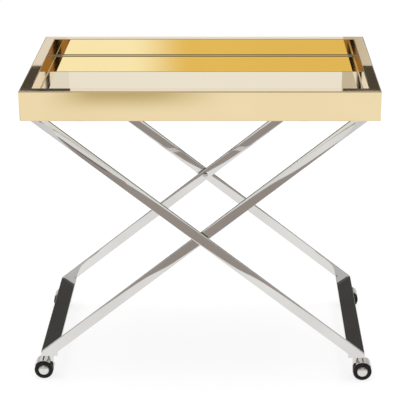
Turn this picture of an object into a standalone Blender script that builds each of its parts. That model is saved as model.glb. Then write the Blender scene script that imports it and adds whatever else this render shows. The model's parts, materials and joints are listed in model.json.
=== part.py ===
"""Bar cart: a mirror tray with a folded gilt rim, two crossed flat-bar frames and four twin-wheel casters.

Units are metres, +Z is up, +X runs along the tray's long side and -Y is the front. The origin is on
the floor under the middle of the cart. Neighbouring solids keep the small clearance FIT.
"""
import math

import bmesh
import bpy
from mathutils import Matrix, Vector

# Overall size
LENGTH = 0.880           # tray, outer face to outer face
DEPTH = 0.535            # tray, front face to back face
HEIGHT = 0.800           # floor to the top of the rim
FIT = 0.0003             # clearance between pieces that touch

# Tray
RIM_WIDTH = 0.029        # flat top of the rim
RIM_HEIGHT = 0.075       # outer face of the rim
RIM_SHEET = 0.0015       # thickness of the folded sheet
RIM_ROUND = 0.0025       # outside radius of the folds
RECESS = 0.047           # rim top down to the mirror
MIRROR_THICKNESS = 0.004
MITRE_GAP = 0.0002       # each rim piece is cut back this far from the mitre line

# Crossed frames
LEG_WIDTH = 0.027
LEG_THICKNESS = 0.007
BAR_THICKNESS = 0.012
BAR_TOP = 0.0825         # top face of the foot bars
PIVOT_HEIGHT = 0.404
FOOT_X = 0.402           # middle of a foot bar
OUTER_HALF = 0.2505      # outer faces of the outer frame
WASHER_THICKNESS = 0.004  # space between the two frames, where the washers sit
EDGE_BEVEL = 0.0008

# Fasteners
BOLT_R = 0.004
BOLT_HEAD_R = 0.0072
BOLT_HEAD_H = 0.0042
BOLT_SINK = 0.0045       # how far the bolt reaches into the outer leg
WASHER_R = 0.009
SCREW_R = 0.002
SCREW_HEAD_R = 0.004
SCREW_HEAD_H = 0.0028
SCREW_SINK = 0.007       # how far a tray screw reaches into the board
SCREW_Y = 0.14           # two tray screws in each top bar, this far from its middle

# Casters
WHEEL_R = 0.0245
WHEEL_THICKNESS = 0.013
WHEEL_SIDE_GAP = 0.001   # wheel to core plate
CORE_THICKNESS = 0.010
TRAIL = 0.018            # swivel axis to axle
CASTER_INSET = 0.0085    # end of the foot bar to the outer face of the wheel
HOOD_GAP = 0.0012        # wheel to hood
HOOD_SHEET = 0.002
HOOD_HALF_WIDTH = 0.0175
HOOD_FROM = 30.0         # degrees round the axle, from the trailing side up and over
HOOD_TO = 130.0
BOSS_R = 0.0075
BOSS_TOP = 0.0658
BOSS_LAP = 0.001         # the boss starts this far above the hood's inner face
NECK_DROP = 0.008        # the core plate stops this far below the top of the boss
NECK_INSET = 0.002
CORE_FOOT = 0.016        # lowest point of the core plate's straight edge
CORE_CHAMFER = 0.005
HUB_R = 0.0085
COLLAR_R = 0.0072
STEM_R = 0.0035
THREAD_R = 0.004
STEM_FOOT = 0.046
THREAD_SINK = 0.009      # how far the stem's thread reaches into the foot bar
AXLE_R = 0.0025
TYRE_ROUND = 0.0024
CAP_R = 0.0138
CAP_H = 0.0045
CAP_RECESS = 0.0015

# Derived sizes
HALF_L = LENGTH / 2
HALF_D = DEPTH / 2
RIM_BOTTOM = HEIGHT - RIM_HEIGHT
MIRROR_TOP = HEIGHT - RECESS
BOARD_TOP = MIRROR_TOP - MIRROR_THICKNESS - FIT
TOP_BAR_BOTTOM = 2 * PIVOT_HEIGHT - BAR_TOP
TOP_BAR_TOP = TOP_BAR_BOTTOM + BAR_THICKNESS
BOARD_BOTTOM = TOP_BAR_TOP + FIT
BAR_BOTTOM = BAR_TOP - BAR_THICKNESS
INNER_HALF = OUTER_HALF - LEG_THICKNESS - WASHER_THICKNESS
LEG_ANGLE = math.atan2(PIVOT_HEIGHT - BAR_TOP, FOOT_X)
BAR_WIDTH = LEG_WIDTH / math.sin(LEG_ANGLE)   # a leg's slanted end covers the whole bar
WHEEL_OFFSET = CORE_THICKNESS / 2 + WHEEL_SIDE_GAP + WHEEL_THICKNESS / 2
HOOD_INNER_R = WHEEL_R + HOOD_GAP
HOOD_OUTER_R = HOOD_INNER_R + HOOD_SHEET

# Segments of the round shapes
ROUND_STEPS = 28
BOSS_STEPS = 24
SMALL_STEPS = 20
AXLE_STEPS = 16
SCREW_STEPS = 12
FOLD_PARTS = 3
DOME_PARTS = 4
HUB_PARTS = 4
HOOD_PARTS = 9


# ---------------------------------------------------------------- helpers

def clear_scene():
    for obj in list(bpy.data.objects):
        bpy.data.objects.remove(obj, do_unlink=True)


def new_collection(name):
    collection = bpy.data.collections.new(name)
    bpy.context.scene.collection.children.link(collection)
    return collection


def make_material(name, colour, roughness, metallic):
    material = bpy.data.materials.new(name)
    material.use_nodes = True
    shader = material.node_tree.nodes["Principled BSDF"]
    shader.inputs["Base Color"].default_value = (*colour, 1.0)
    shader.inputs["Roughness"].default_value = roughness
    shader.inputs["Metallic"].default_value = metallic
    return material


def add_object(name, data, material):
    obj = bpy.data.objects.new(name, data)
    obj.data.materials.append(material)
    CART.objects.link(obj)
    return obj


def mesh_from(bm, name):
    bmesh.ops.recalc_face_normals(bm, faces=bm.faces)
    mesh = bpy.data.meshes.new(name)
    bm.to_mesh(mesh)
    bm.free()
    return mesh


def box(name, low, high, material, bevel=0.0):
    """A block between two corners, with its origin at its middle."""
    low, high = Vector(low), Vector(high)
    bm = bmesh.new()
    bmesh.ops.create_cube(bm, size=1.0)
    bmesh.ops.scale(bm, vec=high - low, verts=bm.verts)
    obj = add_object(name, mesh_from(bm, name), material)
    obj.location = (low + high) / 2
    if bevel:
        add_bevel(obj, bevel)
    return obj


def add_bevel(obj, width):
    bevel = obj.modifiers.new("edge", "BEVEL")
    bevel.width = width
    bevel.segments = 2
    bevel.limit_method = "ANGLE"


def outline_mesh(name, points, thickness):
    """A flat outline in X and Z, given thickness along Y, as a welded mesh."""
    curve = bpy.data.curves.new(name + "_outline", "CURVE")
    curve.dimensions = "2D"
    curve.fill_mode = "BOTH"
    curve.extrude = thickness / 2
    spline = curve.splines.new("POLY")
    spline.points.add(len(points) - 1)
    for point, (x, z) in zip(spline.points, points):
        point.co = (x, z, 0.0, 1.0)
    spline.use_cyclic_u = True
    guide = bpy.data.objects.new(name + "_outline", curve)
    bpy.context.scene.collection.objects.link(guide)
    bpy.context.view_layer.update()
    evaluated = guide.evaluated_get(bpy.context.evaluated_depsgraph_get())
    flat = bpy.data.meshes.new_from_object(evaluated)
    bpy.data.objects.remove(guide, do_unlink=True)
    bm = bmesh.new()
    bm.from_mesh(flat)
    bmesh.ops.remove_doubles(bm, verts=bm.verts, dist=0.000001)
    bmesh.ops.dissolve_limit(bm, angle_limit=0.001, verts=bm.verts, edges=bm.edges)
    bmesh.ops.rotate(bm, matrix=Matrix.Rotation(math.pi / 2, 3, "X"), verts=bm.verts)
    return mesh_from(bm, name)


def turned(name, profile, location, axis, material, steps=SMALL_STEPS, closed=False):
    """A solid of revolution: (radius, height) points from the top down the outer side."""
    bm = bmesh.new()
    verts = [bm.verts.new((radius, 0.0, height)) for radius, height in profile]
    for first, second in zip(verts, verts[1:]):
        bm.edges.new((first, second))
    if closed:
        bm.edges.new((verts[-1], verts[0]))
    mesh = bpy.data.meshes.new(name)
    bm.to_mesh(mesh)
    bm.free()
    obj = add_object(name, mesh, material)
    screw = obj.modifiers.new("turn", "SCREW")
    screw.steps = steps
    screw.render_steps = steps
    screw.use_merge_vertices = True
    screw.merge_threshold = 0.00001
    screw.use_smooth_shade = True
    obj.location = location
    obj.rotation_euler = Vector((0, 0, 1)).rotation_difference(Vector(axis)).to_euler()
    return obj


def dome(radius, height):
    """Profile of an elliptical dome from its apex to its rim."""
    points = [(0.0, height)]
    for k in range(1, DOME_PARTS):
        angle = math.pi / 2 * k / DOME_PARTS
        points.append((radius * math.sin(angle), height * math.cos(angle)))
    points.append((radius, 0.0))
    return points


def cylinder_mesh(radius, length, steps):
    bm = bmesh.new()
    bmesh.ops.create_cone(bm, cap_ends=True, segments=steps, radius1=radius, radius2=radius, depth=length)
    return mesh_from(bm, "cylinder")


def cutter(name, mesh, location, axis=(0, 0, 1)):
    """A helper for a boolean, kept out of the cart's own collection."""
    obj = bpy.data.objects.new(name, mesh)
    CUTTERS.objects.link(obj)
    obj.location = location
    obj.rotation_euler = Vector((0, 0, 1)).rotation_difference(Vector(axis)).to_euler()
    obj.hide_render = True
    obj.display_type = "WIRE"
    return obj


def combine(obj, other, operation):
    """Cuts or joins a helper, which takes the same parent as the piece so that they move together."""
    other.parent = obj.parent
    modifier = obj.modifiers.new(other.name, "BOOLEAN")
    modifier.operation = operation
    modifier.solver = "EXACT"
    modifier.object = other


def drill(obj, name, radius, length, location, axis=(0, 0, 1), steps=SMALL_STEPS):
    """Bore a round hole, centred on location, through or into obj."""
    combine(obj, cutter(name, cylinder_mesh(radius, length, steps), location, axis), "DIFFERENCE")


# ---------------------------------------------------------------- tray

def rim_section():
    """Folded sheet in section: X is inward from the outer face, Z is height."""
    points = [(0.0, RIM_BOTTOM)]
    for k in range(FOLD_PARTS + 1):
        angle = math.pi - math.pi / 2 * k / FOLD_PARTS
        points.append((RIM_ROUND + RIM_ROUND * math.cos(angle),
                       HEIGHT - RIM_ROUND + RIM_ROUND * math.sin(angle)))
    points.append((RIM_WIDTH - RIM_SHEET / 2, HEIGHT))
    points.append((RIM_WIDTH, HEIGHT - RIM_SHEET / 2))
    points.append((RIM_WIDTH, BOARD_TOP + FIT))
    points.append((RIM_WIDTH - RIM_SHEET, BOARD_TOP + FIT))
    points.append((RIM_WIDTH - RIM_SHEET, HEIGHT - RIM_SHEET))
    points.append((RIM_SHEET, HEIGHT - RIM_SHEET))
    points.append((RIM_SHEET, RIM_BOTTOM))
    return points


def rim_piece(name, half_length, half_width, turn):
    """One side of the rim, folded from sheet and cut at 45 degrees at both ends."""
    mesh = outline_mesh(name, rim_section(), 2 * half_length)
    bm = bmesh.new()
    bm.from_mesh(mesh)
    for end in (1, -1):
        normal = Vector((1.0, end, 0.0)).normalized()
        point = Vector((0.0, end * half_length, 0.0)) - normal * MITRE_GAP
        cut = bmesh.ops.bisect_plane(bm, geom=bm.verts[:] + bm.edges[:] + bm.faces[:], dist=0.000001,
                                     plane_co=point, plane_no=normal, clear_outer=True)
        edges = [item for item in cut["geom_cut"] if isinstance(item, bmesh.types.BMEdge)]
        bmesh.ops.contextual_create(bm, geom=edges)
    bmesh.ops.translate(bm, vec=(-half_width, 0, 0), verts=bm.verts)
    obj = add_object(name, mesh_from(bm, name), GILT)
    obj.rotation_euler = (0, 0, turn)
    return obj


def build_rim():
    quarter = math.pi / 2
    rim_piece("rim_left", HALF_D, HALF_L, 0)
    rim_piece("rim_front", HALF_L, HALF_D, quarter)
    rim_piece("rim_right", HALF_D, HALF_L, 2 * quarter)
    rim_piece("rim_back", HALF_L, HALF_D, 3 * quarter)


def build_rim_cores():
    """Timber battens that fill the folded rim, standing on the board."""
    skin = RIM_SHEET + FIT
    low, high = BOARD_TOP + FIT, HEIGHT - RIM_SHEET - FIT
    outer, inner = skin, RIM_WIDTH - skin
    for name, side in (("front", -1), ("back", 1)):
        ys = sorted((side * (HALF_D - outer), side * (HALF_D - inner)))
        box(f"rim_core_{name}", (-HALF_L + skin, ys[0], low), (HALF_L - skin, ys[1], high), TIMBER)
    reach = HALF_D - inner - FIT
    for name, side in (("left", -1), ("right", 1)):
        xs = sorted((side * (HALF_L - outer), side * (HALF_L - inner)))
        box(f"rim_core_{name}", (xs[0], -reach, low), (xs[1], reach, high), TIMBER)


def build_tray_base():
    edge = RIM_SHEET + FIT
    board = box("base_board", (-HALF_L + edge, -HALF_D + edge, BOARD_BOTTOM),
                (HALF_L - edge, HALF_D - edge, BOARD_TOP), BOARD)
    inset = RIM_WIDTH + FIT
    box("mirror_base", (-HALF_L + inset, -HALF_D + inset, BOARD_TOP + FIT),
        (HALF_L - inset, HALF_D - inset, MIRROR_TOP), MIRROR)
    return board


# ---------------------------------------------------------------- crossed frames

def leg(name, slope, y_outer, side):
    """A flat bar through the pivot, its ends cut level to meet the bars. slope is +1 or -1."""
    half_cut = BAR_WIDTH / 2
    low, high = BAR_TOP + FIT, TOP_BAR_BOTTOM - FIT
    outline = []
    for z, edge in ((low, -1), (low, 1), (high, 1), (high, -1)):
        centre = slope * (z - PIVOT_HEIGHT) / math.tan(LEG_ANGLE)
        outline.append((centre + edge * half_cut, z))
    obj = add_object(name, outline_mesh(name, outline, LEG_THICKNESS), CHROME)
    obj.location = (0, side * (y_outer - LEG_THICKNESS / 2), 0)
    add_bevel(obj, EDGE_BEVEL)
    return obj


def cross_bar(name, x, z_low, half):
    return box(name, (x - BAR_WIDTH / 2, -half, z_low), (x + BAR_WIDTH / 2, half, z_low + BAR_THICKNESS),
               CHROME, EDGE_BEVEL)


def drill_pivot(outer, inner, side):
    """The bolt passes the inner leg and screws into a blind hole in the outer leg."""
    inner_middle = side * (INNER_HALF - LEG_THICKNESS / 2)
    drill(inner, inner.name + "_bore", BOLT_R + FIT, 2 * LEG_THICKNESS,
          (0, inner_middle, PIVOT_HEIGHT), (0, 1, 0))
    depth = BOLT_SINK + 2 * FIT
    outer_inside = OUTER_HALF - LEG_THICKNESS
    drill(outer, outer.name + "_bore", BOLT_R + FIT, 2 * depth,
          (0, side * outer_inside, PIVOT_HEIGHT), (0, 1, 0))


def pivot_bolt(row, side):
    head_seat = INNER_HALF - LEG_THICKNESS - FIT
    length = OUTER_HALF - LEG_THICKNESS + BOLT_SINK - head_seat
    profile = dome(BOLT_HEAD_R, BOLT_HEAD_H)
    profile += [(BOLT_R, 0.0), (BOLT_R, -length), (0.0, -length)]
    turned(f"pivot_bolt_{row}", profile, (0, side * head_seat, PIVOT_HEIGHT), (0, -side, 0), STEEL)


def pivot_washer(row, side):
    height = WASHER_THICKNESS - 2 * FIT
    bore = BOLT_R + FIT
    profile = [(bore, height), (WASHER_R, height), (WASHER_R, 0.0), (bore, 0.0)]
    seat = INNER_HALF + FIT
    turned(f"pivot_washer_{row}", profile, (0, side * seat, PIVOT_HEIGHT), (0, side, 0), STEEL, closed=True)


def tray_screw(name, x, y):
    seat = TOP_BAR_BOTTOM - FIT
    length = BAR_THICKNESS + SCREW_SINK + 2 * FIT
    profile = dome(SCREW_HEAD_R, SCREW_HEAD_H)
    profile += [(SCREW_R, 0.0), (SCREW_R, -length), (0.0, -length)]
    turned(name, profile, (x, y, seat), (0, 0, -1), STEEL, steps=SCREW_STEPS)


def build_frames(board):
    outer_front = leg("outer_leg_front", -1, OUTER_HALF, -1)
    outer_back = leg("outer_leg_back", -1, OUTER_HALF, 1)
    inner_front = leg("inner_leg_front", 1, INNER_HALF, -1)
    inner_back = leg("inner_leg_back", 1, INNER_HALF, 1)
    drill_pivot(outer_front, inner_front, -1)
    drill_pivot(outer_back, inner_back, 1)
    feet = (cross_bar("outer_foot_bar", FOOT_X, BAR_BOTTOM, OUTER_HALF),
            cross_bar("inner_foot_bar", -FOOT_X, BAR_BOTTOM, INNER_HALF))
    tops = (cross_bar("outer_top_bar", -FOOT_X, TOP_BAR_BOTTOM, OUTER_HALF),
            cross_bar("inner_top_bar", FOOT_X, TOP_BAR_BOTTOM, INNER_HALF))
    for row, side in (("front", -1), ("back", 1)):
        pivot_bolt(row, side)
        pivot_washer(row, side)
        for bar, hand, x in zip(tops, ("left", "right"), (-FOOT_X, FOOT_X)):
            name = f"tray_screw_{row}_{hand}"
            y = side * SCREW_Y
            drill(bar, name + "_hole", SCREW_R + FIT, 3 * BAR_THICKNESS,
                  (x, y, TOP_BAR_TOP), steps=SCREW_STEPS)
            drill(board, name + "_pilot", SCREW_R + FIT, 2 * (SCREW_SINK + 2 * FIT),
                  (x, y, BOARD_BOTTOM), steps=SCREW_STEPS)
            tray_screw(name, x, y)
    return feet


# ---------------------------------------------------------------- casters

def arc_points(radius, start, end, parts):
    """Points round the axle, angles in degrees. X runs from the swivel axis to the trailing side."""
    points = []
    for k in range(parts + 1):
        angle = math.radians(start + (end - start) * k / parts)
        points.append((TRAIL + radius * math.cos(angle), WHEEL_R + radius * math.sin(angle)))
    return points


def core_outline():
    """Side view of the plate between the wheels."""
    front = FIT - BOSS_R
    neck = BOSS_TOP - NECK_DROP
    points = arc_points(HOOD_OUTER_R - FIT, HOOD_FROM, HOOD_TO, HOOD_PARTS - 1)
    points += [(BOSS_R - NECK_INSET, neck), (front, neck)]
    points += [(front, CORE_FOOT), (front + CORE_CHAMFER, CORE_FOOT - CORE_CHAMFER)]
    points += arc_points(HUB_R, 240.0, 330.0, HUB_PARTS)
    return points


def hood_outline():
    outer = arc_points(HOOD_OUTER_R, HOOD_FROM, HOOD_TO, HOOD_PARTS)
    inner = arc_points(HOOD_INNER_R, HOOD_TO, HOOD_FROM, HOOD_PARTS)
    return outer + inner


def side_view(name, outline, thickness, facing):
    """A caster outline, turned to the side that the wheels trail to."""
    return outline_mesh(name, [(facing * x, z) for x, z in outline], thickness)


def build_housing(label, pivot, facing):
    """Core plate, hood and stem boss in one casting. Its origin is on the swivel axis, at the floor."""
    axle_x = facing * TRAIL
    core = side_view(f"{label}_housing", core_outline(), CORE_THICKNESS, facing)
    obj = add_object(f"{label}_housing", core, CHROME)
    obj.parent = pivot
    hood = side_view(f"{label}_hood", hood_outline(), 2 * HOOD_HALF_WIDTH, facing)
    combine(obj, cutter(f"{label}_hood", hood, (0, 0, 0)), "UNION")
    boss_low = WHEEL_R + HOOD_INNER_R * math.sin(math.radians(HOOD_TO)) + BOSS_LAP
    boss = cylinder_mesh(BOSS_R, BOSS_TOP - boss_low, BOSS_STEPS)
    combine(obj, cutter(f"{label}_boss", boss, (0, 0, (BOSS_TOP + boss_low) / 2)), "UNION")
    clearance = cylinder_mesh(HOOD_INNER_R, WHEEL_THICKNESS + WHEEL_SIDE_GAP, ROUND_STEPS)
    for side in (-1, 1):
        middle = side * (CORE_THICKNESS + WHEEL_THICKNESS + WHEEL_SIDE_GAP) / 2
        well = cutter(f"{label}_well_{side}", clearance, (axle_x, middle, WHEEL_R), (0, 1, 0))
        combine(obj, well, "DIFFERENCE")
    bore_depth = BOSS_TOP - STEM_FOOT + FIT
    drill(obj, f"{label}_stem_bore", STEM_R + FIT, 2 * bore_depth, (0, 0, BOSS_TOP))
    drill(obj, f"{label}_axle_bore", AXLE_R + FIT, 2 * CORE_THICKNESS, (axle_x, 0, WHEEL_R), (0, 1, 0))


def tyre_profile():
    """A wheel in section, height from its middle plane outwards, with a shallow seat for the cap."""
    half = WHEEL_THICKNESS / 2
    bore = AXLE_R + FIT
    seat = half - CAP_RECESS
    outer = [(bore, seat), (CAP_R + FIT, seat), (CAP_R + FIT, half)]
    for k in range(3):
        angle = math.pi / 4 * k
        outer.append((WHEEL_R - TYRE_ROUND + TYRE_ROUND * math.sin(angle),
                      half - TYRE_ROUND + TYRE_ROUND * math.cos(angle)))
    inner = [(radius, -height) for radius, height in reversed(outer[3:])]
    return outer + inner + [(bore, -half)]


def build_wheel(label, tag, x, y, side):
    """One of the twin wheels with its domed cap. side is the way its outer face looks."""
    middle = y + side * WHEEL_OFFSET
    turned(f"{label}_wheel_{tag}", tyre_profile(), (x, middle, WHEEL_R), (0, side, 0), TYRE,
           steps=ROUND_STEPS, closed=True)
    face = side * (WHEEL_THICKNESS / 2 - CAP_RECESS + FIT)
    profile = [(r, h + CAP_RECESS) for r, h in dome(CAP_R, CAP_H)] + [(CAP_R, 0.0), (0.0, 0.0)]
    turned(f"{label}_cap_{tag}", profile, (x, middle + face, WHEEL_R), (0, side, 0), CHROME,
           steps=BOSS_STEPS)


def build_stem(label, bar, x, y):
    """Threaded stem with its plain pin for the housing, and the dark collar it swivels under."""
    collar_low = BOSS_TOP + FIT
    collar_high = BAR_BOTTOM - FIT
    thread_top = BAR_BOTTOM + THREAD_SINK
    pin_foot = STEM_FOOT + FIT
    profile = [(0.0, thread_top), (THREAD_R, thread_top), (THREAD_R, collar_high), (STEM_R, collar_high),
               (STEM_R, pin_foot), (0.0, pin_foot)]
    turned(f"{label}_stem", profile, (x, y, 0), (0, 0, 1), STEEL)
    bore = THREAD_R + FIT
    ring = [(bore, collar_high), (COLLAR_R, collar_high), (COLLAR_R, collar_low), (bore, collar_low)]
    turned(f"{label}_collar", ring, (x, y, 0), (0, 0, 1), DARK, closed=True)
    drill(bar, f"{label}_socket", THREAD_R + FIT, 2 * (THREAD_SINK + FIT), (x, y, BAR_BOTTOM))


def build_axle(label, pivot, facing):
    half = WHEEL_OFFSET + WHEEL_THICKNESS / 2 - CAP_RECESS - FIT
    profile = [(0.0, half), (AXLE_R, half), (AXLE_R, -half), (0.0, -half)]
    axle = turned(f"{label}_axle", profile, (facing * TRAIL, 0, WHEEL_R), (0, 1, 0), STEEL,
                  steps=AXLE_STEPS)
    axle.parent = pivot


def build_caster(label, bar, x, y, facing):
    """facing is the side that the wheels trail to. The housing and the axle turn about the pivot."""
    pivot = bpy.data.objects.new(f"{label}_pivot", None)
    CART.objects.link(pivot)
    pivot.location = (x, y, 0)
    build_stem(label, bar, x, y)
    build_housing(label, pivot, facing)
    build_axle(label, pivot, facing)
    axle_x = x + facing * TRAIL
    build_wheel(label, "front", axle_x, y, -1)
    build_wheel(label, "back", axle_x, y, 1)


def build_casters(outer_bar, inner_bar):
    from_end = CASTER_INSET + WHEEL_OFFSET + WHEEL_THICKNESS / 2
    for row, side in (("front", -1), ("back", 1)):
        build_caster(f"caster_{row}_right", outer_bar, FOOT_X, side * (OUTER_HALF - from_end), 1)
        build_caster(f"caster_{row}_left", inner_bar, -FOOT_X, side * (INNER_HALF - from_end), -1)


# ---------------------------------------------------------------- build

clear_scene()
CART = new_collection("bar_cart")
CUTTERS = new_collection("cutters")
GILT = make_material("gilt_steel", (0.83, 0.60, 0.24), 0.05, 1.0)
CHROME = make_material("chrome", (0.78, 0.77, 0.76), 0.04, 1.0)
MIRROR = make_material("mirror", (0.86, 0.78, 0.62), 0.02, 1.0)
STEEL = make_material("steel", (0.62, 0.62, 0.62), 0.25, 1.0)
TYRE = make_material("tyre", (0.02, 0.02, 0.022), 0.45, 0.0)
DARK = make_material("dark_collar", (0.03, 0.03, 0.03), 0.4, 0.0)
TIMBER = make_material("timber", (0.45, 0.30, 0.17), 0.7, 0.0)
BOARD = make_material("board", (0.05, 0.045, 0.04), 0.6, 0.0)

build_rim()
build_rim_cores()
tray_board = build_tray_base()
outer_foot_bar, inner_foot_bar = build_frames(tray_board)
build_casters(outer_foot_bar, inner_foot_bar)
bpy.context.view_layer.update()
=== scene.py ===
"""Looks for the bar cart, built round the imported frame: finishes, detailed metalwork, studio and camera.

Metres, +Z up, -Y is the front. Every place is read from the frame or worked out from it.
"""
import json
import math

import bmesh
import bpy
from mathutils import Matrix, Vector


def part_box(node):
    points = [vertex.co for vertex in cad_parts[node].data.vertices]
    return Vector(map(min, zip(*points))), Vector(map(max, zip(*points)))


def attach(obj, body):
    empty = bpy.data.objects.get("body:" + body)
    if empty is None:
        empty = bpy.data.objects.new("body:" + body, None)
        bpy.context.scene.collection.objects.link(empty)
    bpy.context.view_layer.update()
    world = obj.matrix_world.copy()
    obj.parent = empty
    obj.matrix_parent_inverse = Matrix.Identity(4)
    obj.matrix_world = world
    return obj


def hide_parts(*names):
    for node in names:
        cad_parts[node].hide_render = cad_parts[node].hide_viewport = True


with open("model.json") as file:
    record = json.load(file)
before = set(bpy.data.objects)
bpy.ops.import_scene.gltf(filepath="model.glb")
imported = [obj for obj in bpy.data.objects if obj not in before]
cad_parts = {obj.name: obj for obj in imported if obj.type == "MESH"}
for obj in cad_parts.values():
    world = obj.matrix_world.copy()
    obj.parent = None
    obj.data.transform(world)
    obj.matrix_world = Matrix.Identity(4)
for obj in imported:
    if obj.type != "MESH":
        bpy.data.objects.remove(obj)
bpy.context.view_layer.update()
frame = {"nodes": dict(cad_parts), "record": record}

# Tray, in metres
RIM_SHEET = 0.0015
RIM_FOLD = 0.0028          # outside radius of the folds and of the upright corners
RIM_LIP = 0.0018           # radius of the inner top edge
RIM_HEM = 0.0011           # radius of the bottom edge
MIRROR_GAP = 0.0010        # dark joint round the mirror
MIRROR_ARRIS = 0.0012      # ground edge of the mirror
MIRROR_CORNER = 0.0008     # radius of its corners
TRIM_HEIGHT = 0.0038       # gilt trim between the mirror and the rim
TRIM_BREAK = 0.0017        # its slope steepens at this height
TRIM_WIDTH = 0.0014
TRIM_SHARE = 0.70          # share of its width that it has at the break
TRIM_CORNER = 0.0002
TIMBER_EASE = 0.0008

# Crossed frames and fasteners, in metres unless a line says otherwise
BAR_ROUND = 0.0009
BAR_CROWN = 0.050          # tilt of a polished leg's face per leg width, in radians
BAR_DUB = 0.120            # extra tilt at its very edge
CROWN_STEPS = 16
WELD_GAP = 0.0003          # the frame leaves this between pieces that touch
BOLT_R = 0.004
BOLT_RIM = 0.08            # share of the bolt head's height that is under its dome
RING_BORE = 0.0043         # washers and collars
WASHER_EASE = 0.0005
SCREW_R = 0.002
SCREW_POINT = 0.0006
SOCKET_R = 0.0013
SOCKET = ((0.0, 0.40), (0.8, 0.45), (1.0, 0.95))  # shares of its radius and of the screw head's height
DOME_STEPS = 10

# Casters, in metres unless a line says otherwise
HOOD_GAP = 0.0012          # wheel to hood
HOOD_SHEET = 0.0020
HOOD_HALF_WIDTH = 0.0174
HOOD_FROM = 30.0           # degrees round the axle, from the trailing side up and over
HOOD_TO = 130.0
HOOD_STEPS = 32
HOOD_ROUND = 0.98          # radius of its edges, as a share of half the sheet
HOOD_END_STEPS = 4
HOOD_END = 0.05            # share of the sheet's thickness at its very end
CORE_THICKNESS = 0.0100
CORE_EASE = 0.0005
CORE_LAP = 0.6             # share of the hood's sheet that the core plate reaches into
CORE_INSET = 0.0003        # its front edge stands this far inside the boss
CORE_FOOT = 0.016          # lowest point of its straight edge
CORE_CHAMFER = 0.005
HUB_R = 0.0085
NECK_DROP = 0.008          # the core plate stops this far below the top of the boss
NECK_INSET = 0.002
BOSS_R = 0.0075
BOSS_BORE = 0.0038
BOSS_EASE = 0.0007
BOSS_LAP = 0.0012          # the boss starts this far above the hood's inner face
GROOVE_DROP = 0.0045       # top of the boss to the middle of its groove
GROOVE_DEPTH = 0.0005
GROOVE_HALF = 0.0006       # half its width at the mouth
GROOVE_FLOOR = 0.0003      # half its width at the bottom
COLLAR_EASE = 0.0006
TYRE_SHOULDER = 0.0026
TYRE_BORE = 0.0028
TYRE_GROOVE = ((0.0168, 0.0), (0.0171, 0.0004), (0.0176, 0.0004), (0.0179, 0.0))  # radius, depth
SEAT_R = 0.0141            # seat of the cap, in the wheel's outer face
SEAT_DEPTH = 0.0015
SEAT_EASE = (0.0004, 0.0003)  # across, deep
CAP_LIP = 0.0011
CAP_STEP = 0.0006          # from the cap's edge in to its dome
CAP_ROUND = 0.0005

# Modelling
LATHE_STEPS = 72
TURNED_STEPS = 64          # boss and collar
MERGE = 0.000002           # points nearer than this are one
SAME_PLACE = 0.0001
SHARP_FOLD = 0.4           # radians between faces at an edge that gets rounded

# Finishes: linear colours
GILT = (0.895, 0.750, 0.515)
GILT_DEEP = (0.865, 0.705, 0.465)
CHROME = (0.760, 0.748, 0.735)
CHROME_DEEP = (0.690, 0.675, 0.660)
EVEN = (1.0, 1.0, 1.0)     # a bump layer that isn't drawn out

# Studio: linear colours of its cards
SOFT_WHITE = (0.90, 0.90, 0.90)
WARM_WHITE = (0.82, 0.81, 0.79)
GOLD_LIGHT = (0.93, 0.765, 0.275)
FOOT_LIGHT = (0.80, 0.80, 0.80)
BLACK = (0.01, 0.01, 0.01)
RAIL = (0.075, 0.066, 0.058)
FLOOR_GREY = (0.385, 0.342, 0.315)
FLOOR_SHADE = (0.160, 0.145, 0.133)
UPPER_WALLS = (0.15, 0.145, 0.135, 1.0)


# ---------------------------------------------------------------- materials

def noise_factor(nodes, links, coordinates, scale, detail, low, high):
    """A noise field squeezed between two values."""
    noise = nodes.new("ShaderNodeTexNoise")
    noise.inputs["Scale"].default_value = scale
    noise.inputs["Detail"].default_value = detail
    links.new(coordinates, noise.inputs["Vector"])
    span = nodes.new("ShaderNodeMapRange")
    span.inputs["From Min"].default_value = 0.3
    span.inputs["From Max"].default_value = 0.7
    span.inputs["To Min"].default_value = low
    span.inputs["To Max"].default_value = high
    links.new(noise.outputs["Fac"], span.inputs["Value"])
    return span.outputs["Result"]


def add_bump(nodes, links, coordinates, shader, layers):
    """Stacks bump layers, each (scale, detail, depth in metres, stretch)."""
    normal = None
    for scale, detail, depth, stretch in layers:
        mapping = nodes.new("ShaderNodeMapping")
        mapping.inputs["Scale"].default_value = stretch
        links.new(coordinates, mapping.inputs["Vector"])
        noise = nodes.new("ShaderNodeTexNoise")
        noise.inputs["Scale"].default_value = scale
        noise.inputs["Detail"].default_value = detail
        links.new(mapping.outputs["Vector"], noise.inputs["Vector"])
        bump = nodes.new("ShaderNodeBump")
        bump.inputs["Strength"].default_value = 1.0
        bump.inputs["Distance"].default_value = depth
        links.new(noise.outputs["Fac"], bump.inputs["Height"])
        if normal is not None:
            links.new(normal, bump.inputs["Normal"])
        normal = bump.outputs["Normal"]
    links.new(normal, shader.inputs["Normal"])


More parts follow.
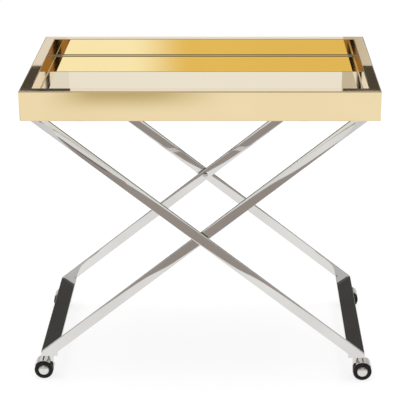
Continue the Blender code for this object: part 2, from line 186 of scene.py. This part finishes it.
def finish(name, light, deep, roughness, metallic, tone_scale, smudge_scale, layers, specular=0.5):
    """A finish with cloudy colour, smudged roughness (lowest, highest) and a fine surface."""
    material = bpy.data.materials.new(name)
    material.use_nodes = True
    nodes, links = material.node_tree.nodes, material.node_tree.links
    shader = nodes["Principled BSDF"]
    shader.inputs["Metallic"].default_value = metallic
    shader.inputs["Specular IOR Level"].default_value = specular
    coordinates = nodes.new("ShaderNodeTexCoord").outputs["Object"]
    blend = nodes.new("ShaderNodeMix")
    blend.data_type = "RGBA"
    blend.inputs["A"].default_value = (*light, 1.0)
    blend.inputs["B"].default_value = (*deep, 1.0)
    clouds = noise_factor(nodes, links, coordinates, tone_scale, 3.0, 0.0, 1.0)
    links.new(clouds, blend.inputs["Factor"])
    links.new(blend.outputs["Result"], shader.inputs["Base Color"])
    smudge = noise_factor(nodes, links, coordinates, smudge_scale, 5.0, *roughness)
    links.new(smudge, shader.inputs["Roughness"])
    add_bump(nodes, links, coordinates, shader, layers)
    return material


MATERIALS = {
    "gilt_steel": finish("polished_gilt", GILT, GILT_DEEP, (0.008, 0.035), 1.0, 2.5, 14.0,
                         [(9.0, 1.0, 0.00002, EVEN), (700.0, 2.0, 0.0000003, (1.0, 1.0, 8.0))]),
    "chrome": finish("polished_chrome", CHROME, CHROME_DEEP, (0.015, 0.05), 1.0, 6.0, 30.0,
                     [(14.0, 1.0, 0.00001, EVEN), (600.0, 2.0, 0.0000004, (1.0, 6.0, 1.0))]),
    "mirror": finish("silvered_mirror", (0.90, 0.80, 0.60), (0.88, 0.77, 0.57), (0.004, 0.02), 1.0,
                     2.0, 10.0, [(3.0, 0.0, 0.000006, EVEN)]),
    "steel": finish("bright_steel", (0.62, 0.62, 0.61), (0.50, 0.50, 0.49), (0.14, 0.30), 1.0,
                    60.0, 240.0, [(900.0, 2.0, 0.000002, (1.0, 1.0, 5.0))]),
    "tyre": finish("satin_black_wheel", (0.008, 0.008, 0.009), (0.014, 0.014, 0.015), (0.30, 0.48), 0.0,
                   90.0, 300.0, [(1500.0, 3.0, 0.000006, EVEN)], specular=0.15),
    "collar": finish("black_collar", (0.020, 0.020, 0.020), (0.035, 0.035, 0.035), (0.35, 0.5), 0.0,
                     80.0, 300.0, [(1200.0, 2.0, 0.000005, EVEN)]),
    "timber": finish("rim_timber", (0.50, 0.34, 0.19), (0.36, 0.22, 0.11), (0.55, 0.75), 0.0,
                     12.0, 60.0, [(120.0, 6.0, 0.0001, (0.1, 1.0, 1.0))]),
    "board": finish("stained_board", (0.050, 0.043, 0.038), (0.030, 0.026, 0.023), (0.45, 0.65), 0.0,
                    9.0, 70.0, [(260.0, 6.0, 0.00004, (0.08, 1.0, 1.0))]),
}
SLOTS = {part["node"]: part["material_slot"] for part in frame["record"]["subparts"]}
BODIES = frame["record"]["behaviour"]["bodies"]
BODY_OF = {node: body for body, nodes in BODIES.items() for node in nodes}


def dress_frame():
    """Every frame node takes the finish of its slot, and the timber gets its eased edges."""
    for node, obj in frame["nodes"].items():
        slot = SLOTS[node]
        obj.data.materials.clear()
        obj.data.materials.append(MATERIALS[slot])
        if slot in ("timber", "board"):
            ease = obj.modifiers.new("eased_edges", "BEVEL")
            ease.width = TIMBER_EASE
            ease.segments = 2


# ---------------------------------------------------------------- pieces

def place(name, bm, *nodes, smooth=30.0, crowned=False):
    """Turns a bmesh into a piece that stands for these frame nodes and rides with their body.

    Faces that meet at more than smooth degrees keep a sharp edge. A crowned piece has no flat faces to
    protect.
    """
    bmesh.ops.remove_doubles(bm, verts=bm.verts, dist=MERGE)
    bmesh.ops.recalc_face_normals(bm, faces=bm.faces)
    mesh = bpy.data.meshes.new(name)
    bm.to_mesh(mesh)
    bm.free()
    mesh.shade_smooth()
    mesh.set_sharp_from_angle(angle=math.radians(smooth))
    piece = bpy.data.objects.new(name, mesh)
    bpy.context.scene.collection.objects.link(piece)
    if not crowned:
        true_faces = piece.modifiers.new("flat_faces_stay_flat", "WEIGHTED_NORMAL")
        true_faces.mode = "FACE_AREA"
        true_faces.weight = 100
        true_faces.keep_sharp = True
    slot = SLOTS[nodes[0]]
    mesh.materials.append(MATERIALS[slot])
    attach(piece, BODY_OF[nodes[0]])
    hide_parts(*nodes)


def arc(centre, radius, start, end, parts):
    """Points of an arc, angles in degrees."""
    angles = [math.radians(start + (end - start) * k / parts) for k in range(parts + 1)]
    return [(centre[0] + radius * math.cos(a), centre[1] + radius * math.sin(a)) for a in angles]


def loft(bm, rings, closed_section=True):
    """Joins rings of equal length into a skin. With a closed section the last ring joins the first."""
    loops = [[bm.verts.new(point) for point in ring] for ring in rings]
    count = len(loops[0])
    pairs = list(zip(loops, loops[1:]))
    if closed_section:
        pairs.append((loops[-1], loops[0]))
    for first, second in pairs:
        for k in range(count):
            following = (k + 1) % count
            bm.faces.new((first[k], first[following], second[following], second[k]))
    return loops


def lathe(profile, centre, axis, steps=LATHE_STEPS):
    """A closed solid of revolution. The profile is (radius, height along the axis), from end to end."""
    bm = bmesh.new()
    turn = Vector((0, 0, 1)).rotation_difference(Vector(axis)).to_matrix()
    rings = []
    for radius, height in profile:
        ring = []
        for k in range(steps):
            angle = 2 * math.pi * k / steps
            point = Vector((radius * math.cos(angle), radius * math.sin(angle), height))
            ring.append(turn @ point + Vector(centre))
        rings.append(ring)
    loft(bm, rings, closed_section=profile[0][0] > 0)
    bmesh.ops.remove_doubles(bm, verts=bm.verts, dist=MERGE)
    return bm


def plate(outline, thickness, centre_y):
    """An outline in X and Z, extruded along Y."""
    bm = bmesh.new()
    sides = []
    for side in (-1, 1):
        sides.append([bm.verts.new((x, centre_y + side * thickness / 2, z)) for x, z in outline])
    bm.faces.new(sides[0])
    bm.faces.new(list(reversed(sides[1])))
    count = len(outline)
    for k in range(count):
        following = (k + 1) % count
        bm.faces.new((sides[0][k], sides[1][k], sides[1][following], sides[0][following]))
    bmesh.ops.recalc_face_normals(bm, faces=bm.faces)
    return bm


def round_edges(bm, radius, welded=None, segments=4):
    """Rounds the sharp edges, apart from those that lie along X at the welded height."""
    edges = []
    for edge in bm.edges:
        first, second = (vert.co for vert in edge.verts)
        across = abs(first.y - second.y) < SAME_PLACE
        if welded is not None and across:
            if abs(first.z - welded) + abs(second.z - welded) < SAME_PLACE:
                continue
        if edge.calc_face_angle() > SHARP_FOLD:
            edges.append(edge)
    bmesh.ops.bevel(bm, geom=edges, offset=radius, segments=segments, profile=0.5, affect="EDGES")


# ---------------------------------------------------------------- tray

def rim_section(width, bottom, top, foot):
    """The folded sheet: (inset from the outer face, height), all the way round."""
    points = arc((RIM_HEM, bottom + RIM_HEM), RIM_HEM, 270, 180, 3)
    points += arc((RIM_FOLD, top - RIM_FOLD), RIM_FOLD, 180, 90, 6)
    points += arc((width - RIM_LIP, top - RIM_LIP), RIM_LIP, 90, 0, 4)
    points += [(width, foot), (width - RIM_SHEET, foot), (width - RIM_SHEET, top - RIM_SHEET)]
    points += arc((RIM_FOLD, top - RIM_FOLD), RIM_FOLD - RIM_SHEET, 90, 180, 4)
    points.append((RIM_SHEET, bottom))
    return points


def rounded_rectangle(half_x, half_y, radius, z, parts=6):
    """A level ring round the Z axis."""
    ring = []
    for sign_x, sign_y, start in ((1, 1, 0), (-1, 1, 90), (-1, -1, 180), (1, -1, 270)):
        centre = (sign_x * (half_x - radius), sign_y * (half_y - radius))
        ring += [(x, y, z) for x, y in arc(centre, radius, start, start + 90, parts)]
    return ring


def build_rim():
    """One welded and polished skin with rounded upright corners."""
    low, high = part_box("rim_left")
    front_low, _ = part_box("rim_front")
    inner = high.x - low.x
    mirror_low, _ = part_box("mirror_base")
    half_x, half_y = -low.x, -front_low.y
    bm = bmesh.new()
    rings = []
    for inset, z in rim_section(inner, low.z, high.z, mirror_low.z):
        radius = max(RIM_FOLD - inset, 0.0)
        rings.append(rounded_rectangle(half_x - inset, half_y - inset, radius, z))
    loft(bm, rings)
    place("rim_skin", bm, "rim_front", "rim_back", "rim_left", "rim_right", smooth=25.0)


def build_mirror():
    """The mirror, a little smaller than its recess and with a ground edge, and the gilt trim round it."""
    low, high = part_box("mirror_base")
    half_x, half_y = high.x - MIRROR_GAP, high.y - MIRROR_GAP
    bm = bmesh.new()
    rings = []
    for inset, z in ((0.0, low.z), (0.0, high.z - MIRROR_ARRIS / 2), (MIRROR_ARRIS, high.z)):
        rings.append(rounded_rectangle(half_x - inset, half_y - inset, MIRROR_CORNER, z, 3))
    loops = loft(bm, rings, closed_section=False)
    bm.faces.new(loops[0])
    bm.faces.new(list(reversed(loops[-1])))
    place("mirror_sheet", bm, "mirror_base", smooth=10.0)
    wall_x, wall_y = high.x + WELD_GAP, high.y + WELD_GAP
    section = [(0.0, high.z), (0.0, high.z + TRIM_HEIGHT),
               (TRIM_WIDTH * TRIM_SHARE, high.z + TRIM_BREAK), (TRIM_WIDTH, high.z)]
    bm = bmesh.new()
    loft(bm, [rounded_rectangle(wall_x - inset, wall_y - inset, TRIM_CORNER, z, 2) for inset, z in section])
    place("rim_trim", bm, "rim_front", smooth=12.0)


# ---------------------------------------------------------------- crossed frames

def crowned_section(width, half):
    """(offset across the bar, offset through it): faces that polishing has left a little crowned."""
    def drop(across):
        k = abs(across) / width
        return width * (BAR_CROWN * k * k / 2 + BAR_DUB * (2 * k) ** 5 / 10)

    edge = width / 2 - BAR_ROUND
    face = []
    for step in range(CROWN_STEPS + 1):
        across = -edge * math.cos(math.pi * step / CROWN_STEPS)
        face.append((across, half - drop(across)))
    corner = arc((edge, half - drop(edge) - BAR_ROUND), BAR_ROUND, 90, 0, 4)[1:]
    left = [(-across, through) for across, through in reversed(corner)]
    upper = left + face + corner
    return upper + [(-across, -through) for across, through in upper]


def build_leg(node, slope):
    """A flat bar cut level at both ends and drawn out to touch the bars that it is welded to.

    slope is 1 where the leg rises towards +X, and -1 where it falls.
    """
    low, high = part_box(node)
    bar_low, bar_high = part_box("outer_foot_bar")
    cut = bar_high.x - bar_low.x
    run, rise = high.x - low.x - cut, high.z - low.z
    sine = rise / math.hypot(run, rise)
    middle = (low + high) / 2
    section = crowned_section(cut * sine, (high.y - low.y) / 2)
    bm = bmesh.new()
    rings = []
    for end in (-1, 1):
        centre_x = middle.x + end * slope * run / 2
        z = middle.z + end * (rise / 2 + WELD_GAP)
        ring = [(centre_x - slope * across / sine, middle.y + through, z) for across, through in section]
        rings.append(ring)
    loops = loft(bm, rings, closed_section=False)
    bm.faces.new(loops[0])
    bm.faces.new(list(reversed(loops[-1])))
    place(node + "_bar", bm, node, smooth=40.0, crowned=True)


def build_bar(node, weld_side):
    """A bar whose ends are dressed flush with the legs welded to its top or its underside."""
    low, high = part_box(node)
    outline = [(low.x, low.z), (high.x, low.z), (high.x, high.z), (low.x, high.z)]
    bm = plate(outline, high.y - low.y, (low.y + high.y) / 2)
    round_edges(bm, BAR_ROUND, welded=high.z if weld_side > 0 else low.z)
    place(node + "_flat", bm, node, smooth=40.0)


def dome_profile(radius, height):
    """(radius, height) from the crown down to the edge."""
    turns = [math.pi / 2 * k / DOME_STEPS for k in range(1, DOME_STEPS)]
    sides = [(radius * math.sin(turn), height * math.cos(turn)) for turn in turns]
    return [(0.0, height)] + sides + [(radius, 0.0)]


def build_pivot(row, side):
    """Domed bolt through the inner leg, and the washer between the legs. side is the row's sign on Y."""
    low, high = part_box(f"pivot_bolt_{row}")
    centre = (low + high) / 2
    head_r = (high.x - low.x) / 2
    inner_low, inner_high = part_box(f"inner_leg_{row}")
    seat = (inner_high.y if side < 0 else inner_low.y) - side * WELD_GAP
    tip = low.y if side < 0 else high.y
    crown = high.y if side < 0 else low.y
    head = abs(crown - seat)
    shank = abs(tip - seat)
    dome = dome_profile(head_r, head * (1 - BOLT_RIM))
    profile = [(r, h + head * BOLT_RIM) for r, h in dome]
    profile += [(head_r, 0.0), (BOLT_R, 0.0), (BOLT_R, -shank), (0.0, -shank)]
    bolt = lathe(profile, (centre.x, seat, centre.z), (0, -side, 0))
    place(f"pivot_bolt_{row}_dome", bolt, f"pivot_bolt_{row}")

    low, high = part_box(f"pivot_washer_{row}")
    radius, half = (high.x - low.x) / 2, (high.y - low.y) / 2
    ring = [(RING_BORE, half), (radius - WASHER_EASE, half), (radius, half - WASHER_EASE),
            (radius, WASHER_EASE - half), (radius - WASHER_EASE, -half), (RING_BORE, -half)]
    washer = lathe(ring, (low + high) / 2, (0, 1, 0))
    place(f"pivot_washer_{row}_ring", washer, f"pivot_washer_{row}")


def build_frames():
    """Both crossed frames, with their foot bars, top bars and pivots."""
    for row, side in (("front", -1), ("back", 1)):
        build_leg(f"outer_leg_{row}", -1)
        build_leg(f"inner_leg_{row}", 1)
        build_pivot(row, side)
    for frame_name in ("outer", "inner"):
        build_bar(f"{frame_name}_foot_bar", 1)
        build_bar(f"{frame_name}_top_bar", -1)


def build_screw(node):
    """A domed screw with a round-bottomed socket, under a top bar."""
    low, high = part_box(node)
    centre = (low + high) / 2
    bar_low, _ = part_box("outer_top_bar")
    head_r = (high.x - low.x) / 2
    head, shank = bar_low.z - WELD_GAP - low.z, high.z - bar_low.z + WELD_GAP
    profile = [(SOCKET_R * across, head * up) for across, up in SOCKET]
    profile += [point for point in dome_profile(head_r, head) if point[0] > SOCKET_R]
    profile += [(SCREW_R, 0.0), (SCREW_R, -shank + SCREW_POINT), (SCREW_R / 2, -shank), (0.0, -shank)]
    seat = (centre.x, centre.y, bar_low.z - WELD_GAP)
    place(node + "_dome", lathe(profile, seat, (0, 0, -1), 36), node)


# ---------------------------------------------------------------- casters

def build_tyre(node, side):
    """A moulded wheel with rounded shoulders, a seat for its cap and a groove in its outer face."""
    low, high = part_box(node)
    radius, half = (high.z - low.z) / 2, (high.y - low.y) / 2
    seat = half - SEAT_DEPTH
    across, deep = SEAT_EASE
    profile = [(TYRE_BORE, seat), (SEAT_R, seat), (SEAT_R, half - deep), (SEAT_R + across, half)]
    profile += [(r, half - depth) for r, depth in TYRE_GROOVE]
    tread = radius - TYRE_SHOULDER
    profile += arc((tread, half - TYRE_SHOULDER), TYRE_SHOULDER, 90, 0, 6)
    profile += arc((tread, TYRE_SHOULDER - half), TYRE_SHOULDER, 0, -90, 6)
    profile.append((TYRE_BORE, -half))
    place(node + "_tyre", lathe(profile, (low + high) / 2, (0, side, 0), 96), node, smooth=35.0)


def build_cap(node, side):
    """A domed cap with a rounded lip."""
    low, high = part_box(node)
    radius, half = (high.x - low.x) / 2, (high.y - low.y) / 2
    dome = dome_profile(radius - CAP_STEP, 2 * half - CAP_LIP)
    profile = [(r, h - half + CAP_LIP) for r, h in dome]
    profile += arc((radius - CAP_ROUND, CAP_LIP - half - CAP_ROUND), CAP_ROUND, 90, 0, 3)
    profile += [(radius, -half), (0.0, -half)]
    place(node + "_dome", lathe(profile, (low + high) / 2, (0, side, 0)), node, smooth=35.0)


def hood_shell(middle, reach, facing):
    """The curved sheet over the wheels, with rounded edges all round.

    reach is the wheel's radius, and facing is the sign on X of the side that trails.
    """
    inner = reach + HOOD_GAP
    half = HOOD_SHEET / 2
    corner = half * HOOD_ROUND
    section = arc((HOOD_HALF_WIDTH - corner, half), corner, -90, 90, 6)
    section += [(-y, r) for y, r in reversed(section)]
    end_turn = math.degrees(half / (inner + half))
    start = []
    for k in range(HOOD_END_STEPS + 1):
        quarter = math.pi / 2 * k / HOOD_END_STEPS
        start.append((HOOD_FROM + end_turn * (1 - math.cos(quarter)), max(math.sin(quarter), HOOD_END)))
    full = HOOD_TO - HOOD_FROM - 2 * end_turn
    stations = start + [(HOOD_FROM + end_turn + full * k / HOOD_STEPS, 1.0) for k in range(1, HOOD_STEPS)]
    stations += [(HOOD_FROM + HOOD_TO - angle, swell) for angle, swell in reversed(start)]
    bm = bmesh.new()
    rings = []
    for angle, swell in stations:
        turn = math.radians(angle)
        ring = []
        for y, r in section:
            radius = inner + half + (r - half) * swell
            ring.append((middle.x + facing * radius * math.cos(turn), middle.y + y,
                         middle.z + radius * math.sin(turn)))
        rings.append(ring)
    loops = loft(bm, rings, closed_section=False)
    bm.faces.new(loops[0])
    bm.faces.new(list(reversed(loops[-1])))
    return bm


def groove(radius, height):
    """Profile points of a turned groove."""
    bottom = radius - GROOVE_DEPTH
    return [(radius, height + GROOVE_HALF), (bottom, height + GROOVE_FLOOR),
            (bottom, height - GROOVE_FLOOR), (radius, height - GROOVE_HALF)]


def build_housing(corner):
    """Hood, core plate and turned boss of one caster."""
    label = f"caster_{corner}"
    node = f"{label}_housing"
    low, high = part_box(f"{label}_axle")
    middle = (low + high) / 2
    wheel_low, wheel_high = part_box(f"{label}_wheel_front")
    reach = (wheel_high.z - wheel_low.z) / 2
    stem_low, stem_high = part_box(f"{label}_stem")
    swivel = (stem_low + stem_high) / 2
    facing = 1 if middle.x > swivel.x else -1
    boss_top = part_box(node)[1].z
    place(node + "_hood", hood_shell(middle, reach, facing), node, smooth=50.0)

    front = swivel.x - facing * (BOSS_R - CORE_INSET)
    neck = boss_top - NECK_DROP
    over = arc((0.0, middle.z), reach + HOOD_GAP + HOOD_SHEET * CORE_LAP, HOOD_FROM, HOOD_TO, 24)
    hub = arc((0.0, middle.z), HUB_R, 240, 330, 12)
    outline = [(middle.x + facing * x, z) for x, z in over]
    outline += [(swivel.x + facing * (BOSS_R - NECK_INSET), neck), (front, neck), (front, CORE_FOOT),
                (front + facing * CORE_CHAMFER, CORE_FOOT - CORE_CHAMFER)]
    outline += [(middle.x + facing * x, z) for x, z in hub]
    core = plate(outline, CORE_THICKNESS, middle.y)
    round_edges(core, CORE_EASE, segments=2)
    place(node + "_core", core, node, smooth=35.0)

    foot = middle.z + (reach + HOOD_GAP) * math.sin(math.radians(HOOD_TO)) + BOSS_LAP
    profile = [(BOSS_BORE, boss_top), (BOSS_R - BOSS_EASE, boss_top), (BOSS_R, boss_top - BOSS_EASE)]
    profile += groove(BOSS_R, boss_top - GROOVE_DROP) + [(BOSS_R, foot), (BOSS_BORE, foot)]
    boss = lathe(profile, (swivel.x, swivel.y, 0.0), (0, 0, 1), TURNED_STEPS)
    place(node + "_boss", boss, node)


def build_collar(corner):
    """The swivel collar under the bar, a black ring with a shallow groove."""
    node = f"caster_{corner}_collar"
    low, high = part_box(node)
    radius, half = (high.x - low.x) / 2, (high.z - low.z) / 2
    profile = [(RING_BORE, half), (radius - COLLAR_EASE, half), (radius, half - COLLAR_EASE)]
    profile += groove(radius, 0.0)
    profile += [(radius, COLLAR_EASE - half), (radius - COLLAR_EASE, -half), (RING_BORE, -half)]
    place(node + "_ring", lathe(profile, (low + high) / 2, (0, 0, 1), TURNED_STEPS), node)


# ---------------------------------------------------------------- studio

def glow_material(name, colour, fade=None):
    """An even glow. fade is (start, end, other colour) and blends to that colour along X."""
    material = bpy.data.materials.new(name)
    material.use_nodes = True
    nodes, links = material.node_tree.nodes, material.node_tree.links
    nodes.clear()
    glow = nodes.new("ShaderNodeEmission")
    glow.inputs["Color"].default_value = (*colour, 1.0)
    if fade is not None:
        start, end, other = fade
        place_x = nodes.new("ShaderNodeSeparateXYZ")
        links.new(nodes.new("ShaderNodeTexCoord").outputs["Object"], place_x.inputs["Vector"])
        step = nodes.new("ShaderNodeMapRange")
        step.interpolation_type = "SMOOTHSTEP"
        step.inputs["From Min"].default_value = start
        step.inputs["From Max"].default_value = end
        links.new(place_x.outputs["X"], step.inputs["Value"])
        blend = nodes.new("ShaderNodeMix")
        blend.data_type = "RGBA"
        blend.inputs["A"].default_value = (*colour, 1.0)
        blend.inputs["B"].default_value = (*other, 1.0)
        links.new(step.outputs["Result"], blend.inputs["Factor"])
        links.new(blend.outputs["Result"], glow.inputs["Color"])
    output = nodes.new("ShaderNodeOutputMaterial")
    links.new(glow.outputs["Emission"], output.inputs["Surface"])
    return material


def stage_only(name, mesh, material):
    """A studio surface that shows only in reflections."""
    obj = bpy.data.objects.new(name, mesh)
    bpy.context.scene.collection.objects.link(obj)
    mesh.materials.append(material)
    obj.visible_camera = False
    obj.visible_diffuse = False
    obj.visible_shadow = False


def upright_card(name, x_span, z_span, y, colour, fade=None):
    """A card that faces along Y."""
    mesh = bpy.data.meshes.new(name)
    (x0, x1), (z0, z1) = x_span, z_span
    mesh.from_pydata([(x0, y, z0), (x1, y, z0), (x1, y, z1), (x0, y, z1)], [], [(0, 1, 2, 3)])
    stage_only(name, mesh, glow_material(name, colour, fade))


def floor_card(name, corners, colour, height=0.003):
    """A level card just above the floor."""
    mesh = bpy.data.meshes.new(name)
    mesh.from_pydata([(x, y, height) for x, y in corners], [], [tuple(range(len(corners)))])
    stage_only(name, mesh, glow_material(name, colour))


def soft_patch(name, x_ramp, y_ramp, colour):
    """A soft-edged patch of painted shadow on the floor, which shows only in reflections. A ramp runs from
    no shadow to full, and X has one at each side.
    """
    (left, left_full, right_full, right), (near, far) = x_ramp, y_ramp
    mesh = bpy.data.meshes.new(name)
    height = 0.004
    corners = [(left, far, height), (right, far, height), (right, near, height), (left, near, height)]
    mesh.from_pydata(corners, [], [(0, 1, 2, 3)])
    material = glow_material(name, colour)
    nodes, links = material.node_tree.nodes, material.node_tree.links
    place_xyz = nodes.new("ShaderNodeSeparateXYZ")
    links.new(nodes.new("ShaderNodeTexCoord").outputs["Object"], place_xyz.inputs["Vector"])
    total = None
    for channel, start, end in (("X", left, left_full), ("X", right, right_full), ("Y", near, far)):
        ramp = nodes.new("ShaderNodeMapRange")
        ramp.interpolation_type = "SMOOTHSTEP"
        ramp.inputs["From Min"].default_value = min(start, end)
        ramp.inputs["From Max"].default_value = max(start, end)
        ramp.inputs["To Min"].default_value = 0.0 if start < end else 1.0
        ramp.inputs["To Max"].default_value = 1.0 if start < end else 0.0
        links.new(place_xyz.outputs[channel], ramp.inputs["Value"])
        if total is None:
            total = ramp.outputs["Result"]
            continue
        product = nodes.new("ShaderNodeMath")
        product.operation = "MULTIPLY"
        links.new(total, product.inputs[0])
        links.new(ramp.outputs["Result"], product.inputs[1])
        total = product.outputs["Value"]
    blend = nodes.new("ShaderNodeMixShader")
    links.new(total, blend.inputs["Fac"])
    links.new(nodes.new("ShaderNodeBsdfTransparent").outputs["BSDF"], blend.inputs[1])
    links.new(nodes["Emission"].outputs["Emission"], blend.inputs[2])
    links.new(blend.outputs["Shader"], nodes["Material Output"].inputs["Surface"])
    stage_only(name, mesh, material)


def floor_ring(name, inner, outer, colour):
    """A level ring just above the floor, round the cart."""
    bm = bmesh.new()
    circles = [rounded_rectangle(radius, radius, radius, 0.002, 16) for radius in (inner, outer)]
    loft(bm, circles, closed_section=False)
    mesh = bpy.data.meshes.new(name)
    bm.to_mesh(mesh)
    bm.free()
    stage_only(name, mesh, glow_material(name, colour))


def build_floor():
    """A plain pale floor that fades into the background."""
    mesh = bpy.data.meshes.new("floor")
    reach = 30.0
    corners = [(-reach, -reach, 0), (reach, -reach, 0), (reach, reach, 0), (-reach, reach, 0)]
    mesh.from_pydata(corners, [], [(0, 1, 2, 3)])
    floor = bpy.data.objects.new("floor", mesh)
    bpy.context.scene.collection.objects.link(floor)
    material = bpy.data.materials.new("pale_floor")
    material.use_nodes = True
    shader = material.node_tree.nodes["Principled BSDF"]
    shader.inputs["Base Color"].default_value = (0.25, 0.25, 0.25, 1.0)
    shader.inputs["Roughness"].default_value = 0.9
    shader.inputs["Specular IOR Level"].default_value = 0.0
    shader.inputs["Emission Color"].default_value = (1.0, 1.0, 1.0, 1.0)
    shader.inputs["Emission Strength"].default_value = 0.76
    mesh.materials.append(material)


def build_world():
    """The metal sees a room with dark upper walls. Everything else gets even pale light."""
    world = bpy.data.worlds.new("studio")
    bpy.context.scene.world = world
    world.use_nodes = True
    nodes, links = world.node_tree.nodes, world.node_tree.links
    nodes.clear()
    pale = nodes.new("ShaderNodeBackground")
    pale.inputs["Color"].default_value = (1.0, 1.0, 1.0, 1.0)
    pale.inputs["Strength"].default_value = 0.96
    room = nodes.new("ShaderNodeBackground")
    direction = nodes.new("ShaderNodeSeparateXYZ")
    links.new(nodes.new("ShaderNodeTexCoord").outputs["Generated"], direction.inputs["Vector"])
    tones = nodes.new("ShaderNodeValToRGB")
    tones.color_ramp.interpolation = "EASE"
    walls, upper_walls = tones.color_ramp.elements
    walls.position, walls.color = 0.33, (0.60, 0.59, 0.57, 1.0)
    upper_walls.position, upper_walls.color = 0.47, UPPER_WALLS
    tones.color_ramp.elements.new(0.82).color = UPPER_WALLS
    ceiling = tones.color_ramp.elements.new(0.95)
    ceiling.color = (0.72, 0.71, 0.69, 1.0)
    links.new(direction.outputs["Z"], tones.inputs["Fac"])
    links.new(tones.outputs["Color"], room.inputs["Color"])
    rays = nodes.new("ShaderNodeLightPath")
    blend = nodes.new("ShaderNodeMixShader")
    links.new(rays.outputs["Is Glossy Ray"], blend.inputs["Fac"])
    links.new(pale.outputs["Background"], blend.inputs[1])
    links.new(room.outputs["Background"], blend.inputs[2])
    output = nodes.new("ShaderNodeOutputWorld")
    links.new(blend.outputs["Shader"], output.inputs["Surface"])


def build_cards():
    """Light and dark cards that shape the reflections. Heights and places are in the cart's frame."""
    # behind, for the tray's level faces: a bright middle, softer wings, and dark rails before the wings
    upright_card("back_middle", (-0.964, 0.76), (1.6, 2.9), 5.0, SOFT_WHITE)
    upright_card("back_left", (-3.0, -0.964), (1.6, 2.9), 5.0, WARM_WHITE)
    upright_card("back_right", (0.76, 3.0), (1.6, 2.9), 5.0, (0.60, 0.54, 0.44),
                 (0.80, 0.95, (0.68, 0.64, 0.59)))
    upright_card("rail_left", (-1.6, -0.53), (1.226, 1.325), 1.5, RAIL)
    upright_card("rail_right", (0.487, 1.6), (1.226, 1.325), 1.5, RAIL)
    # behind and low, for the foot bars and the legs' upper edges
    upright_card("foot_dark", (-0.95, 0.85), (0.77, 1.165), 1.8, (0.066, 0.064, 0.061))
    upright_card("low_back", (-2.2, 2.2), (0.35, 1.50), 4.5, (0.11, 0.105, 0.10))
    # a stand behind, seen only by way of the tray's end walls
    upright_card("stand", (0.070, 0.095), (1.6, 2.2), 3.6, BLACK)
    upright_card("stand_cover", (0.05, 0.12), (1.10, 1.36), 1.5, SOFT_WHITE)
    # in front, for the tray's back wall: bright on the left, gold-toned on the right
    upright_card("front_wide", (-4.0, 4.0), (1.62, 2.02), -3.7, (1.18, 1.30, 1.25),
                 (-0.52, -0.16, GOLD_LIGHT))
    # a brown figure with a dark side and core in front, seen only by way of the tray's end walls
    upright_card("figure", (-0.04, 0.21), (1.45, 2.1), -3.6, (0.42, 0.245, 0.085))
    upright_card("figure_side", (-0.04, 0.02), (1.45, 2.1), -3.59, (0.12, 0.07, 0.04))
    upright_card("figure_core", (0.065, 0.11), (1.45, 2.1), -3.59, BLACK)
    upright_card("figure_cover", (-0.01, 0.18), (1.10, 1.38), -1.5, GOLD_LIGHT)
    # in front and low, for the foot bars by way of the legs
    upright_card("foot_light_left", (-0.75, -0.42), (0.30, 0.57), -0.7, FOOT_LIGHT)
    upright_card("foot_light_right", (0.42, 0.70), (0.30, 0.57), -0.7, FOOT_LIGHT)
    # on the floor, for the legs and the tray's front: light, then a grey ring, then light again
    floor_ring("floor_near", 0.02, 0.95, (0.97, 0.97, 0.965))
    floor_ring("floor_grey", 0.95, 1.81, FLOOR_GREY)
    floor_ring("floor_light", 1.81, 2.47, (0.93, 0.93, 0.92))
    floor_card("floor_grey_left", [(-0.30, -1.70), (-0.30, -1.84), (-0.36, -1.86), (-0.80, -2.36),
                                   (-2.0, -2.36), (-2.0, -1.0), (-1.2, -1.0), (-0.9, -1.5)], FLOOR_GREY)
    floor_card("floor_edge_left", [(-0.36, -1.86), (-0.42, -1.84), (-0.86, -2.34), (-0.80, -2.36)],
               FLOOR_SHADE, 0.004)
    floor_card("floor_edge_front", [(-1.4, -2.43), (1.2, -2.43), (1.2, -2.49), (-1.4, -2.49)],
               FLOOR_SHADE, 0.004)
    floor_ring("floor_far", 2.47, 6.0, (0.955, 0.944, 0.84))
    # painted shadow on the floor in front, seen only in the tray's reflections
    soft_patch("floor_shade", (-0.78, -0.50, -0.34, 0.10), (-2.60, -2.96), (0.56, 0.50, 0.29))


def build_light():
    """One soft overhead light, which doesn't show in the metal."""
    data = bpy.data.lights.new("overhead", "AREA")
    data.shape = "RECTANGLE"
    data.size = 2.6
    data.size_y = 2.0
    data.energy = 55.0
    light = bpy.data.objects.new("overhead", data)
    light.location = (0.0, 0.2, 3.2)
    light.visible_glossy = False
    bpy.context.scene.collection.objects.link(light)


def build_camera():
    """The long lens of the main view, a little above the tray and looking down."""
    data = bpy.data.cameras.new("camera")
    data.lens = 125.6
    data.sensor_width = 36.0
    data.shift_x = -0.088
    data.dof.use_dof = False
    camera = bpy.data.objects.new("camera", data)
    camera.location = (0.0852, -3.507, 1.765)
    look_down = 0.367
    camera.rotation_euler = (math.pi / 2 - look_down, 0.0, 0.0)
    bpy.context.scene.collection.objects.link(camera)
    bpy.context.scene.camera = camera
    bpy.context.scene.view_settings.view_transform = "Standard"


# ---------------------------------------------------------------- build

dress_frame()
build_rim()
build_mirror()
build_frames()
for row in ("front", "back"):
    for hand in ("left", "right"):
        build_screw(f"tray_screw_{row}_{hand}")
for corner in ("front_left", "front_right", "back_left", "back_right"):
    build_housing(corner)
    build_collar(corner)
    for tag, side in (("front", -1), ("back", 1)):
        build_tyre(f"caster_{corner}_wheel_{tag}", side)
        build_cap(f"caster_{corner}_cap_{tag}", side)
build_floor()
build_world()
build_cards()
build_light()
build_camera()
